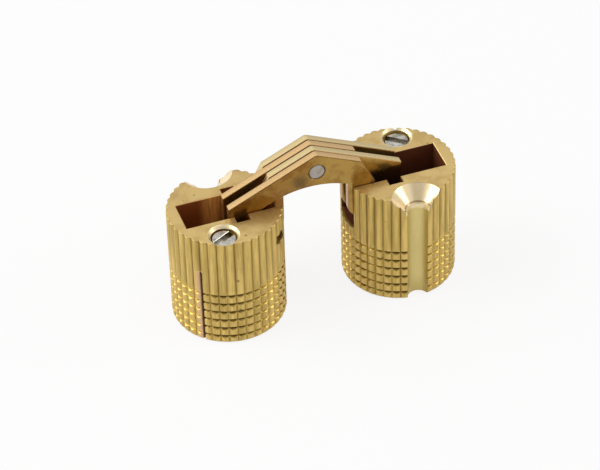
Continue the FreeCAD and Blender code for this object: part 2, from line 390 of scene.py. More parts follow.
barrelShape = {
    "flutes": 40, "fluteColumns": 16, "fluteDepth": 0.25, "fluteShape": 1.8, "fluteUneven": 0.10,
    "fluteCrowding": 0.55,  # how closely the columns stand at the flutes' bottoms
    "rings": 6, "lowestRing": 1.1, "ringPitch": 1.26, "ringWidth": 0.54, "ringDepth": 0.29,
    "topEdge": 0.08, "bottomRound": 0.5, "edgeBreak": 0.09,
    "slotHalf": 2.185, "slotOuter": 5.35, "slotInner": 4.5, "slotDepth": 13.13, "openingDepth": 6.4,
    "trackHalf": 3.245, "trackRadius": 0.84,
    "pivotHole": 0.77, "pivotColumns": 48,
    "screwPlace": (-1.69, -4.80), "screwRadius": 1.52, "screwHole": 8.99, "mouthChamfer": 0.36,
    "threadPitch": 0.5, "threadDepth": 0.12, "threadEnds": (8.6, 0.2), "threadColumns": 72,
    "sawWidth": 0.5, "sawTop": 4.8,
    "groovePlace": barrelRadius, "grooveRadius": 1.3, "grooveColumns": 96,
    "sinkRadius": 3.15, "sinkRound": 0.8,
}


def barrelSurface(shape):
    # radius = full radius less the deepest of three falls: the flute's, which grows with a power of the
    # distance from the ridge's crown; the grip ring's, a V round the barrel; and the rounded lead-in's
    columns = shape["fluteColumns"]
    step = np.arange(columns) / columns
    share = step - shape["fluteCrowding"] * np.sin(2 * math.pi * step) / (2 * math.pi)
    wear = np.clip(np.random.default_rng(5).normal(size=shape["flutes"]), -1.5, 1.5)
    uneven = 1 + shape["fluteUneven"] * wear
    angle = ((np.arange(shape["flutes"])[:, None] + share) * 2 * math.pi / shape["flutes"]).ravel()
    fluteFall = (shape["fluteDepth"] * uneven[:, None] * np.abs(2 * share - 1) ** shape["fluteShape"]).ravel()

    ringDepths = barrelLength - shape["lowestRing"] - shape["ringPitch"] * np.arange(shape["rings"])[::-1]
    halfRows = np.array([0.12, 0.24, 0.36, 0.46, 0.52, 0.72])  # from a ring's middle, in ring widths
    ringRows = np.concatenate([-halfRows[::-1], [0], halfRows])
    edgeIn, edgeDown = roundedRim(shape["topEdge"], 4)
    leadIn = shape["bottomRound"]
    leadTurn = np.linspace(0, math.pi / 2, 9)
    depth = np.concatenate([
        edgeDown,
        np.linspace(0.4, ringDepths[0] - 0.6, 9),  # plain flutes above the rings
        (ringDepths[:, None] + shape["ringWidth"] * ringRows).ravel(),
        barrelLength - leadIn * (1 - np.sin(leadTurn))])
    inset = np.zeros(depth.shape)
    inset[:edgeIn.size] = edgeIn
    nearest = np.abs(depth[:, None] - ringDepths).min(axis=1)
    ringFall = shape["ringDepth"] * np.clip(1 - nearest / (shape["ringWidth"] / 2), 0, 1)
    leadFall = np.zeros(depth.shape)
    leadFall[-leadTurn.size:] = leadIn * (1 - np.cos(leadTurn))
    fall = np.maximum(fluteFall[None, :], np.maximum(ringFall, leadFall)[:, None]) + inset[:, None]
    radius = barrelRadius - fall
    z = np.broadcast_to(-depth[:, None], radius.shape)
    return closedTube(np.stack([radius * np.cos(angle), radius * np.sin(angle), z], axis=-1))


def slotCutters(shape):
    # the slot's outline carried across, and a shallow flare that breaks its edges at the top face
    half, outer, inner = shape["slotHalf"], shape["slotOuter"], shape["slotInner"]
    deep, opening, edge = shape["slotDepth"], shape["openingDepth"], shape["edgeBreak"]
    past = barrelRadius + clear
    outline = np.array([-outer + 1j * clear, -outer - 1j * deep, inner - 1j * deep,
                        inner - 1j * opening, past - 1j * opening, past + 1j * clear])
    wide = (-outer - 2 * edge, past, -half - 2 * edge, half + 2 * edge)
    flare = taperedBox((-outer, past, -half, half), wide, -edge, edge)
    return [crossPrism(outline, -half, half), flare]


def trackCutters(shape):
    # the slide pin's path as the hinge closes, widened to both sides and rounded at its ends;
    # its upright mouth; and a flare that breaks the mouth's edges
    travel = np.linspace(0, 1, 41)
    centerArm = (centerPlace - pivotPlace) * np.exp(1j * swing * travel)
    slideArm = (slidePlace - centerPlace) * np.exp(1j * (math.pi - swing) * travel)
    place = pivotPlace + centerArm + slideArm
    heading = 1j * swing * centerArm + 1j * (math.pi - swing) * slideArm
    heading = heading / np.abs(heading)
    reach = shape["trackRadius"]
    bend = np.exp(1j * np.linspace(math.pi / 2, -math.pi / 2, 15)[1:-1])
    outline = np.concatenate([place + 1j * heading * reach, place[-1] + heading[-1] * reach * bend,
                              (place - 1j * heading * reach)[::-1], place[0] - heading[0] * reach * bend])
    half, edge, mouth = shape["trackHalf"], shape["edgeBreak"], slidePlace.real
    low = (mouth - reach, mouth + reach, -half, half)
    wide = (mouth - reach - 2 * edge, mouth + reach + 2 * edge, -half - 2 * edge, half + 2 * edge)
    upright = taperedBox(low, low, slidePlace.imag, clear)
    return [crossPrism(outline, -half, half), upright, taperedBox(low, wide, -edge, edge)]


def screwHoleCutter(shape):
    # thread below, a plain cone at the mouth
    lowest, highest = shape["threadEnds"]
    threadRows = np.arange(-lowest, -highest, shape["threadPitch"] / 8)
    z = np.concatenate([[-shape["screwHole"]], threadRows, [-0.02, clear]])
    radius = threadedRadius(shape["screwRadius"], shape["threadDepth"], shape["threadPitch"], z,
                            shape["threadColumns"])
    cone = shape["screwRadius"] + shape["mouthChamfer"] + z
    return turnedShape(np.maximum(radius, cone[:, None]), z, shape["screwPlace"])


def fixingGrooveCutter(shape):
    # half-round groove down the side, eased into a right-angled countersink at the top
    grooveRadius, sinkRadius, ease = shape["grooveRadius"], shape["sinkRadius"], shape["sinkRound"]
    corner = grooveRadius - sinkRadius
    turn = np.linspace(0, math.pi / 4, 7)
    tangent = ease * math.tan(math.pi / 8)
    easedRadius = grooveRadius + ease * (1 - np.cos(turn))
    easedZ = corner - tangent + ease * np.sin(turn)
    radius = np.concatenate([[grooveRadius], easedRadius, [sinkRadius + clear]])
    z = np.concatenate([[-barrelLength - clear], easedZ, [clear]])
    radius = np.repeat(radius[:, None], shape["grooveColumns"], axis=1)
    return turnedShape(radius, z, (0, shape["groovePlace"]))


def makeBarrel(shape):
    barrel = addSolid("leftBarrel", barrelSurface(shape))
    x, y = shape["screwPlace"]
    sawHalf = shape["sawWidth"] / 2
    saw = (-barrelRadius - clear, x, y - sawHalf, y + sawHalf)
    pivotY = np.array([-barrelRadius - clear, boxMm("left_pivot_pin")[1][1]])
    cutters = slotCutters(shape) + trackCutters(shape) + [
        crossTurned(np.full(2, shape["pivotHole"]), pivotY, pivotPlace, shape["pivotColumns"]),
        screwHoleCutter(shape),
        taperedBox(saw, saw, -barrelLength - clear, -shape["sawTop"]),
        fixingGrooveCutter(shape)]
    cutAway(barrel, cutters)
    return barrel


barrelFinish = {
    "side": (0.79, 0.56, 0.165), "sideStain": (0.51, 0.360, 0.085),
    "top": (0.68, 0.485, 0.190), "topStain": (0.56, 0.385, 0.138),
    # painted shade with some dirt, darkening the flutes from their crowns to their bottoms
    "fluteShadeAndDirt": (0.22, 0.130, 0.024),
    "ring": (0.72, 0.50, 0.135), "ringShadeAndDirt": (0.15, 0.085, 0.018), "ringTint": 0.8,
    # the saw cut: sawn brass lightened as painted light, and painted shade deeper in
    "sawn": (1.0, 0.64, 0.32), "sawnDeepShade": (0.11, 0.047, 0.012),
    # painted shade inside the slots, darker in the right one, and painted light beside the left link
    "inside": (0.30, 0.080, 0.015), "rightSlotShade": (0.15, 0.043, 0.016), "insidePaintedLight": (1.0, 0.50, 0.12),
    # the fixing groove: paler as painted light; darker at its edges and lower end as painted shade, with
    # stain streaks
    "fixingGroove": (0.76, 0.625, 0.250), "fixingShadeAndStain": (0.46, 0.315, 0.075),
    # fresh-cut brass in the sink, paler as a painted highlight, with a painted reflection line round it
    "sink": (0.90, 0.73, 0.44), "sinkReflectionLine": (0.30, 0.175, 0.055), "sinkLineDepth": 1.62,
    "screwMouth": (0.76, 0.64, 0.39),
    "speck": (0.13, 0.075, 0.02), "speckDarkness": 0.7,
    "sideRoughness": 0.42, "topRoughness": 0.33, "sinkRoughness": 0.2, "ringRoughness": 0.3,
    "sideMetal": 0.6, "topMetal": 0.8, "sinkMetal": 0.45, "insideMetal": 0.15,
    "grain": 0.10, "bump": 0.35, "topSmoothness": 0.75, "topMilling": 0.12,
    # ranges of place
    "topEnd": (0.09, 0.02), "bottomEnd": (0.06, 0.015),
    "fluteSides": (-0.02, 0.25, 0.0, 0.5), "fluteBottoms": (0.15, 0.29, 0.0, 0.5),
    "slotWalls": (0.40, 0.48), "slotSides": (3.4, 3.3), "slotFloor": (0.2, 0.1),
    "ringWalls": (0.40, 0.36),
    "ringEdges": (1.1, 0.9), "ringBottoms": (0.85, 0.3, 0.0, 0.85),  # in half ring widths
    "crowns": (0.02, 0.3, 0.3, 1.0),  # in flutes, from a flute's bottom
    "fixingWalls": (0.04, 0.01), "fixingEdges": (0.75, 1.3, 0.0, 0.7), "fixingEnd": (3.0, 0.0, 0.0, 0.35),
    "sinkNear": 0.2, "sinkTop": (0.01, 0.03), "sinkBottom": (2.45, 2.25),
    "sinkLineHalf": (0.11, 0.05, 0.0, 0.8),
    "mouthNear": (0.06, 0.04),
    "sawWalls": (0.03, 0.005), "sawStart": (2.0, 2.4), "sawEnd": (-0.1, -0.05), "sawShade": (0.24, 0.42),
    "glowReach": (2.8, 1.0), "glowSides": (2.35, 2.22),
    # ranges of stain and grain
    "drawnStain": (0.42, 0.75), "streakStain": (0.42, 0.68, 0.0, 0.8),
    "shadeAndDirtInFlutes": (0.0, 1.0, 0.85, 0.6),  # plain flutes, ringed flutes
    "topCloud": (0.3, 0.9), "topGrain": (0.5, 0.8, 0.0, 0.5),
    "fixingStreak": (0.45, 0.75, 0.0, 0.2), "glowStreak": (0.35, 0.62, 0.45, 1.0),
    "roughGrain": (0.2, 0.8, -0.05, 0.08),
}


def barrelPlaces(tree, coords, look, shape):
    # distances in millimetres, and masks from 0 to 1 that fit both barrels
    x, y, z = inMillimetres(tree, coords)
    side = mathNode(tree, "ABSOLUTE", y)
    across = mathNode(tree, "ADD", mathNode(tree, "ABSOLUTE", x), barrelAxis)  # from the axis, outwards
    sunk = mathNode(tree, "SUBTRACT", barrelRadius, distance(tree, across, y))
    below = mathNode(tree, "SUBTRACT", topLevel, z)
    at = {"x": x, "z": z, "side": side, "across": across, "sunk": sunk, "below": below}

    # both turned ends, the flutes, and the slot with its tracks
    at["end"] = mathNode(tree, "MAXIMUM", rangeNode(tree, below, *look["topEnd"]),
                         rangeNode(tree, z, *look["bottomEnd"]))
    at["flute"] = mathNode(tree, "ADD", rangeNode(tree, sunk, *look["fluteSides"]),
                           rangeNode(tree, sunk, *look["fluteBottoms"]))
    underFloor = mathNode(tree, "SUBTRACT", below, shape["slotDepth"])
    at["slot"] = product(tree, rangeNode(tree, sunk, *look["slotWalls"]),
                         mathNode(tree, "SUBTRACT", 1.0, at["end"]),
                         rangeNode(tree, side, *look["slotSides"]),
                         rangeNode(tree, underFloor, *look["slotFloor"]))

    # the rings: heights in ring pitches from the lowest one, and 0 in a ring's middle to 1 at its edge
    pitch = shape["ringPitch"]
    pitches = mathNode(tree, "MULTIPLY_ADD", z, 1 / pitch, -shape["lowestRing"] / pitch)
    at["fromRing"] = product(tree, mathNode(tree, "PINGPONG", pitches, 0.5), 2 * pitch / shape["ringWidth"])
    at["ringed"] = mathNode(tree, "LESS_THAN", pitches, shape["rings"] - 0.5)
    at["ring"] = product(tree, rangeNode(tree, at["fromRing"], *look["ringEdges"]), at["ringed"],
                         rangeNode(tree, sunk, *look["ringWalls"]))

    # 0 in a flute and 0.5 on a ridge's crown, from the turn about the barrel's axis
    ownX = product(tree, across, -1.0)
    ownY = product(tree, y, mathNode(tree, "SIGN", x), -1.0)
    turns = product(tree, mathNode(tree, "ARCTAN2", ownY, ownX), shape["flutes"] / (2 * math.pi))
    at["crown"] = mathNode(tree, "PINGPONG", turns, 0.5)

    # the fixing groove and its sink are on the side where x and y differ in sign
    grooveSide = mathNode(tree, "LESS_THAN", product(tree, x, y), 0.0)
    grooveReach = distance(tree, across, mathNode(tree, "SUBTRACT", side, shape["groovePlace"]))
    outside = mathNode(tree, "SUBTRACT", grooveReach, shape["grooveRadius"])
    at["fixing"] = product(tree, rangeNode(tree, outside, *look["fixingWalls"]), grooveSide)
    sinkCone = mathNode(tree, "SUBTRACT", shape["sinkRadius"], below)
    sinkReach = mathNode(tree, "MAXIMUM", sinkCone, shape["grooveRadius"])
    onSink = mathNode(tree, "LESS_THAN", offFrom(tree, grooveReach, sinkReach), look["sinkNear"])
    at["sink"] = product(tree, onSink, grooveSide, rangeNode(tree, below, *look["sinkTop"]),
                         rangeNode(tree, below, *look["sinkBottom"]))

    # the chamfer at the screw's mouth, and the walls of the saw cut in line with the screw
    screwSide = mathNode(tree, "SUBTRACT", 1.0, grooveSide)
    mouthX = mathNode(tree, "ADD", across, shape["screwPlace"][0])
    mouthY = mathNode(tree, "ADD", side, shape["screwPlace"][1])
    mouthCone = mathNode(tree, "SUBTRACT", shape["screwRadius"] + shape["mouthChamfer"], below)
    offMouth = offFrom(tree, distance(tree, mouthX, mouthY), mouthCone)
    at["mouth"] = product(tree, rangeNode(tree, offMouth, *look["mouthNear"]), screwSide)
    offSaw = mathNode(tree, "SUBTRACT", mathNode(tree, "ABSOLUTE", mouthY), shape["sawWidth"] / 2)
    underSaw = mathNode(tree, "SUBTRACT", below, shape["sawTop"])
    at["saw"] = product(tree, rangeNode(tree, offSaw, *look["sawWalls"]), screwSide,
                        rangeNode(tree, across, *look["sawStart"]),
                        rangeNode(tree, underSaw, *look["sawEnd"]))
    return at


def barrelBrass(look, shape):
    material, tree, shader, coords = newMaterial("barrelBrass")
    at = barrelPlaces(tree, coords, look, shape)
    cloud = placeGroup(tree, tarnish, {"Vector": coords, "Size mm": 2.6, "Contrast": 1.3})
    pits = placeGroup(tree, specks, {"Vector": coords, "Spacing mm": 1.7, "Share": 0.22})["Specks"]
    streak = toolLines(tree, coords, (1.0, 1.0, 0.06), 0.3)
    drawn = toolLines(tree, coords, (1.0, 1.0, 0.12), 1.1)
    milled = toolLines(tree, coords, (1.0, 0.12, 1.0), 0.14)

    # sides: stained in streaks; darker in the flutes and in the rings under the ridges' crowns, where the
    # rings are deepest:
    # painted shade, with some dirt
    color = mixColor(tree, rangeNode(tree, drawn, *look["drawnStain"]), look["side"], look["sideStain"])
    color = mixColor(tree, rangeNode(tree, streak, *look["streakStain"]), color, look["sideStain"])
    color = mixColor(tree, product(tree, at["ring"], look["ringTint"]), color, look["ring"])
    fluteShadeAndDirtShare = product(tree, at["flute"], rangeNode(tree, at["ringed"], *look["shadeAndDirtInFlutes"]))
    color = mixColor(tree, fluteShadeAndDirtShare, color, look["fluteShadeAndDirt"])
    # painted shade, with some dirt, along the rings' bottoms, deepest under the ridges' crowns
    ringShadeAndDirt = product(tree, at["ring"], rangeNode(tree, at["fromRing"], *look["ringBottoms"]),
                       rangeNode(tree, at["crown"], *look["crowns"]))
    color = mixColor(tree, ringShadeAndDirt, color, look["ringShadeAndDirt"])

    # the fixing groove is paler than the sides as painted light, and darker along its edges and at its lower
    # end as painted shade, with stain streaks
    fixingEdge = rangeNode(tree, mathNode(tree, "ABSOLUTE", at["across"]), *look["fixingEdges"])
    fixingShadeAndStreak = mathNode(tree, "ADD", fixingEdge, rangeNode(tree, at["z"], *look["fixingEnd"]))
    fixingShadeAndStreak = mathNode(tree, "ADD", fixingShadeAndStreak, rangeNode(tree, streak, *look["fixingStreak"]))
    fixingShadeAndStreak = mathNode(tree, "MINIMUM", fixingShadeAndStreak, 1.0)
    color = mixColor(tree, at["fixing"], color,
                     mixColor(tree, fixingShadeAndStreak, look["fixingGroove"], look["fixingShadeAndStain"]))

    # the saw cut is pale at its mouth and dark within, painted light and shade; both slots are dark with
    # painted shade, the left one paler beside its link with painted light, and the right one darker with more
    # painted shade
    # painted light at the saw cut's mouth and painted shade deeper in
    sawLightAndShade = mixColor(tree, rangeNode(tree, at["sunk"], *look["sawShade"]), look["sawn"], look["sawnDeepShade"])
    color = mixColor(tree, at["saw"], color, sawLightAndShade)
    # painted light in the left slot beside its link
    glow = product(tree, rangeNode(tree, at["across"], *look["glowReach"]),
                   rangeNode(tree, streak, *look["glowStreak"]),
                   rangeNode(tree, at["side"], *look["glowSides"]))
    onRight = mathNode(tree, "GREATER_THAN", at["x"], 0.0)
    leftSlot = mixColor(tree, glow, look["inside"], look["insidePaintedLight"])
    color = mixColor(tree, at["slot"], color, mixColor(tree, onRight, leftSlot, look["rightSlotShade"]))

    # turned ends, the sink, paler and partly diffuse as a painted highlight, with a painted reflection line
    # round it, the screw's mouth, and pits all over
    endCloud = rangeNode(tree, cloud["Stain"], *look["topCloud"])
    endColor = mixColor(tree, endCloud, look["top"], look["topStain"])
    endColor = mixColor(tree, rangeNode(tree, cloud["Fine"], *look["topGrain"]), endColor, look["topStain"])
    color = mixColor(tree, at["end"], color, endColor)
    onLine = rangeNode(tree, offFrom(tree, at["below"], look["sinkLineDepth"]), *look["sinkLineHalf"])
    color = mixColor(tree, at["sink"], color, mixColor(tree, onLine, look["sink"], look["sinkReflectionLine"]))
    color = mixColor(tree, at["mouth"], color, look["screwMouth"])
    color = mixColor(tree, product(tree, pits, look["speckDarkness"]), color, look["speck"])
    tree.links.new(color, shader["Base Color"])

    sideRough, sideMetal = look["sideRoughness"], look["sideMetal"]
    rough = mathNode(tree, "ADD", rangeNode(tree, cloud["Fine"], *look["roughGrain"]), sideRough)
    for place, there in (("end", "topRoughness"), ("ring", "ringRoughness"), ("sink", "sinkRoughness")):
        rough = shifted(tree, at[place], rough, look[there] - sideRough)
    tree.links.new(rough, shader["Roughness"])
    cleanCut = mathNode(tree, "MAXIMUM", at["mouth"], at["ring"])
    inside = mathNode(tree, "MAXIMUM", at["slot"], at["saw"])
    metal = shifted(tree, cleanCut, sideMetal, 1.0 - sideMetal)
    metal = shifted(tree, at["end"], metal, look["topMetal"] - sideMetal)
    metal = shifted(tree, at["sink"], metal, look["sinkMetal"] - sideMetal)
    metal = shifted(tree, inside, metal, look["insideMetal"] - sideMetal)
    tree.links.new(metal, shader["Metallic"])

    # grain and streaks in equal parts, less on the ends, none in the sink; mill marks on the ends
    height = mathNode(tree, "ADD", product(tree, cloud["Fine"], 0.5), product(tree, streak, 0.5))
    smooth = mathNode(tree, "MAXIMUM", at["sink"], product(tree, at["end"], look["topSmoothness"]))
    height = product(tree, height, mathNode(tree, "SUBTRACT", 1.0, smooth))
    height = mathNode(tree, "ADD", height, product(tree, milled, at["end"], look["topMilling"]))
    addBump(tree, shader, height, look["bump"], look["grain"])
    return material


leftBarrel = makeBarrel(barrelShape)
rightBarrel = addObject("rightBarrel", leftBarrel.data.copy())
barrelMaterial = barrelBrass(barrelFinish, barrelShape)
finishPiece(leftBarrel, barrelMaterial, "left_barrel", "left_barrel")
finishPiece(rightBarrel, barrelMaterial, "right_barrel", "right_barrel", turned=True)
print("barrels: %d faces each" % len(leftBarrel.data.polygons))


# Expander screws

screwShape = {
    "radius": 1.47, "threadDepth": 0.12, "pitch": 0.5, "threadEnds": (0.45, 0.3), "columns": 72,
    "pointRows": (0.0, 0.2, 0.35), "pointInset": (0.35, 0.15, 0.0),  # up from the point, in from the radius
    "topEdge": 0.16, "plainRows": 3,  # rows of the head without thread
    "slotHalf": 0.41, "slotDepth": 0.8, "slotReach": 2.0, "slotFlare": 0.04,
    "leftSlotAngle": 28.0, "rightSlotAngle": -39.0,
}

screwFinish = {"bright": (0.58, 0.56, 0.51), "stain": (0.34, 0.32, 0.27), "roughness": 0.2,
               "linesAcross": (0.2, 1.0, 1.0)}


def makeScrew(name, shape, slotAngle):
    # threaded rod with a rounded head end, and a slot across it at an angle
    low, high = boxMm("left_expander_screw")
    top, bottom = high[2] - topLevel, low[2] - topLevel
    edgeIn, edgeDown = roundedRim(shape["topEdge"], 5)
    pointRows, plainRows = np.array(shape["pointRows"]), shape["plainRows"]
    lowest, highest = shape["threadEnds"]
    threadRows = np.arange(bottom + lowest, top - highest, shape["pitch"] / 8)
    z = np.concatenate([bottom + pointRows, threadRows, (top - edgeDown)[::-1]])
    radius = threadedRadius(shape["radius"] - shape["threadDepth"], shape["threadDepth"], shape["pitch"], z,
                            shape["columns"])
    limit = np.full(z.shape, shape["radius"])
    limit[:pointRows.size] = shape["radius"] - np.array(shape["pointInset"])
    limit[-edgeIn.size:] = (shape["radius"] - edgeIn)[::-1]
    radius = np.minimum(radius, limit[:, None])
    radius[-plainRows:] = limit[-plainRows:, None]
    place = barrelShape["screwPlace"]
    screw = addSolid(name, turnedShape(radius, z, place))

    half, flare, reach = shape["slotHalf"], shape["slotFlare"], shape["slotReach"]
    slot = (-reach, reach, -half, half)
    wide = (-reach, reach, -half - 2 * flare, half + 2 * flare)
    cutters = [taperedBox(slot, slot, top - shape["slotDepth"], top + clear),
               taperedBox(slot, wide, top - flare, top + flare)]
    turn = math.radians(slotAngle)
    spin = np.array([[math.cos(turn), -math.sin(turn), 0], [math.sin(turn), math.cos(turn), 0], [0, 0, 1]])
    offset = np.array([*place, 0])
    cutAway(screw, [(points @ spin.T + offset, faces) for points, faces in cutters])
    return screw


leftScrew = makeScrew("leftExpanderScrew", screwShape, screwShape["leftSlotAngle"])
rightScrew = makeScrew("rightExpanderScrew", screwShape, screwShape["rightSlotAngle"])
screwMaterial = steel("screwZinc", screwFinish, steelWear)
finishPiece(leftScrew, screwMaterial, "left_barrel", "left_expander_screw")
finishPiece(rightScrew, screwMaterial, "right_barrel", "right_expander_screw", turned=True)
print("expander screws: %d faces each" % len(leftScrew.data.polygons))


# Pins

pinShape = {"edge": 0.10, "columns": 64}

pinFinish = {"bright": (0.42, 0.38, 0.335), "stain": (0.30, 0.255, 0.20), "roughness": 0.42,
             "linesAcross": (1.0, 0.1, 1.0)}


def makePin(node, name, shape, body, turned=False):
    # a rod along y, rounded at both ends
    low, high = boxMm(node)
    place = nodeMiddle(node)
    if turned:
        place = complex(-2 * barrelAxis - place.real, place.imag)
    radius = (high[2] - low[2]) / 2
    y, inset = bothRims(low[1], high[1], shape["edge"], 5)
    piece = addSolid(name, crossTurned(radius - inset, y, place, shape["columns"]))
    finishPiece(piece, pinMaterial, body, node, turned=turned)


pinMaterial = steel("pinSteel", pinFinish, steelWear)
makePin("center_pin", "centerPin", pinShape, "link_a")
makePin("left_pivot_pin", "leftPivotPin", pinShape, "left_barrel")
makePin("right_pivot_pin", "rightPivotPin", pinShape, "right_barrel", turned=True)
makePin("left_slide_pin", "leftSlidePin", pinShape, "link_a")
makePin("right_slide_pin", "rightSlidePin", pinShape, "link_b", turned=True)
print("pins: 5")


# Link plates

plateShape = {
    "ridgeRise": 2.48, "ridgeRadius": 0.6, "ridgeSlope": 24.8, "shoulderSlope": 63.0,
    "archDrop": 2.02, "archSlideGap": 1.18, "archPivotGap": 0.47,
    "slideBoss": 1.45, "pivotBoss": 1.7, "edge": 0.13,
    "centerHole": 1.02, "pivotHole": 0.78, "slideHole": 0.80, "holeFlare": 0.12, "holeColumns": 64,
}

linkFinish = {
    "face": (0.42, 0.257, 0.062), "faceStain": (0.25, 0.112, 0.018),
    "grease": (0.12, 0.075, 0.028), "greasePlace": (-2.1, -0.9),  # from the centre pin
    "edge": (0.77, 0.51, 0.235), "edgePale": (0.77, 0.60, 0.305), "edgeLowShade": (0.42, 0.225, 0.065),
    "gapPaintedShade": (0.20, 0.10, 0.025), "armPaintedShade": (0.10, 0.036, 0.014),
    "platePitch": 1.08,
    "roughness": 0.21, "metal": 0.85, "bump": 0.08, "bumpDepth": 0.04, "faceGrain": 0.2,
    # ranges; heights are from the barrels' top faces
    "flatFace": (0.75, 0.97),
    "armBrown": (2.0, -2.5, 0.0, 0.6), "faceCloud": (0.3, 0.9, 0.0, 0.6),
    "greaseSpread": (1.5, 0.2, 0.0, 0.75), "greaseUneven": 1.2,
    "armDip": (0.85, 0.45, 0.0, 0.9), "armEnd": (6.5, 7.2), "armUneven": 0.7,
    "shearLines": (0.5, 0.9, 0.0, 0.25), "gapEdge": (0.16, 0.05), "edgeDip": (0.6, -0.2),
    "roughGrain": (0.2, 0.8, -0.05, 0.08),
}


def linkBrass(look):
    material, tree, shader, coords = newMaterial("linkBrass")
    x, y, z = inMillimetres(tree, coords)
    rise = mathNode(tree, "SUBTRACT", z, topLevel)
    normal = addNode(tree, "ShaderNodeNewGeometry").outputs["Normal"]
    facing = addNode(tree, "ShaderNodeSeparateXYZ", {"Vector": normal}).outputs["Y"]
    flat = rangeNode(tree, mathNode(tree, "ABSOLUTE", facing), *look["flatFace"])
    cloud = placeGroup(tree, tarnish, {"Vector": coords, "Size mm": 2.2, "Contrast": 1.4})
    rolled = toolLines(tree, coords, (0.08, 1.0, 1.0), 0.16)
    sheared = toolLines(tree, coords, (1.0, 0.1, 1.0), 0.12)
    stainUneven, fineUneven = (mathNode(tree, "SUBTRACT", cloud[name], 0.5) for name in ("Stain", "Fine"))

    # faces: browner towards the left, with old grease beside the centre pin, and painted shade, the dark slot
    # mirrored, where the end of the right long arm dips into its slot
    browner = mathNode(tree, "ADD", rangeNode(tree, cloud["Stain"], *look["faceCloud"]),
                       rangeNode(tree, x, *look["armBrown"]))
    faceColor = mixColor(tree, mathNode(tree, "MINIMUM", browner, 1.0), look["face"], look["faceStain"])
    greaseX = mathNode(tree, "SUBTRACT", x, look["greasePlace"][0])
    greaseZ = mathNode(tree, "SUBTRACT", rise, centerPlace.imag + look["greasePlace"][1])
    greaseReach = mathNode(tree, "MULTIPLY_ADD", fineUneven, look["greaseUneven"],
                           distance(tree, greaseX, greaseZ))
    faceColor = mixColor(tree, rangeNode(tree, greaseReach, *look["greaseSpread"]), faceColor, look["grease"])
    # painted shade, the dark slot mirrored, on the end of the right long arm
    armRise = mathNode(tree, "MULTIPLY_ADD", stainUneven, look["armUneven"], rise)
    armDark = product(tree, rangeNode(tree, armRise, *look["armDip"]), rangeNode(tree, x, *look["armEnd"]))
    faceColor = mixColor(tree, armDark, faceColor, look["armPaintedShade"])

    # edges, counted in plates from the front one: every other plate is paler, painted shade darkens them
    # beside the gaps between plates, and more painted shade darkens them below the barrels' top faces
    plates = mathNode(tree, "MULTIPLY_ADD", y, 1 / look["platePitch"], 2.0)
    paler = mathNode(tree, "GREATER_THAN", mathNode(tree, "FRACT", product(tree, plates, 0.5)), 0.5)
    fromGap = mathNode(tree, "PINGPONG", plates, 0.5)
    edgeColor = mixColor(tree, paler, look["edge"], look["edgePale"])
    edgeColor = mixColor(tree, rangeNode(tree, sheared, *look["shearLines"]), edgeColor, look["face"])
    # painted shade beside the gaps between plates
    edgeColor = mixColor(tree, rangeNode(tree, fromGap, *look["gapEdge"]), edgeColor, look["gapPaintedShade"])
    # painted shade, with the barrels' brass mirrored, low on the edges
    edgeColor = mixColor(tree, rangeNode(tree, rise, *look["edgeDip"]), edgeColor, look["edgeLowShade"])
    tree.links.new(mixColor(tree, flat, edgeColor, faceColor), shader["Base Color"])

    rough = mathNode(tree, "ADD", rangeNode(tree, cloud["Fine"], *look["roughGrain"]), look["roughness"])
    tree.links.new(rough, shader["Roughness"])
    shader["Metallic"].default_value = look["metal"]
    height = mathNode(tree, "ADD", product(tree, rolled, flat),
                      product(tree, cloud["Fine"], look["faceGrain"]))
    addBump(tree, shader, height, look["bump"], look["bumpDepth"])
    return material


def arcPoints(center, radius, start, end, count):
    return center + radius * np.exp(1j * np.linspace(start, end, count))


def plateOutline(shape):
    # upper edge: tip of the long arm, rounded ridge, shoulder and heel of the short arm;
    # lower edge: round ends about both holes, and a hollow between them
    slope = math.radians(shape["ridgeSlope"])
    ridge = centerPlace + 1j * shape["ridgeRise"]
    ownPivot = complex(2 * centerPlace.real - pivotPlace.real, pivotPlace.imag)
    slideBoss, pivotBoss = shape["slideBoss"], shape["pivotBoss"]
    tipX = slidePlace.real - slideBoss
    tip = complex(tipX, ridge.imag + (tipX - ridge.real) * math.tan(slope))
    shoulder = complex(ownPivot.real, ridge.imag - (ownPivot.real - ridge.real) * math.tan(slope))
    heel = shoulder + pivotBoss * complex(1, -math.tan(math.radians(shape["shoulderSlope"])))
    ridgeCenter = ridge - 1j * shape["ridgeRadius"] / math.cos(slope)
    ridgeArc = arcPoints(ridgeCenter, shape["ridgeRadius"], math.pi / 2 + slope, math.pi / 2 - slope, 9)

    archRise = centerPlace.imag - shape["archDrop"]
    feet = (slidePlace.real + slideBoss + shape["archSlideGap"], ownPivot.real - shape["archPivotGap"])
    archHalf = (feet[1] - feet[0]) / 2
    archRadius = (archHalf ** 2 + archRise ** 2) / (2 * archRise)
    archCenter = complex(sum(feet) / 2, archRise - archRadius)
    archLeft = math.pi - math.asin(-archCenter.imag / archRadius)
    archRight = math.acos((ownPivot.real - pivotBoss - archCenter.real) / archRadius)
    foot = feet[0] - slidePlace
    tangent = np.angle(foot) - math.acos(slideBoss / abs(foot))
    return np.concatenate([
        [tip], ridgeArc, [shoulder, heel],
        arcPoints(ownPivot, pivotBoss, 0, -math.pi, 33),
        arcPoints(archCenter, archRadius, archRight, archLeft, 25),
        arcPoints(slidePlace, slideBoss, tangent, -math.pi, 29)]), ownPivot


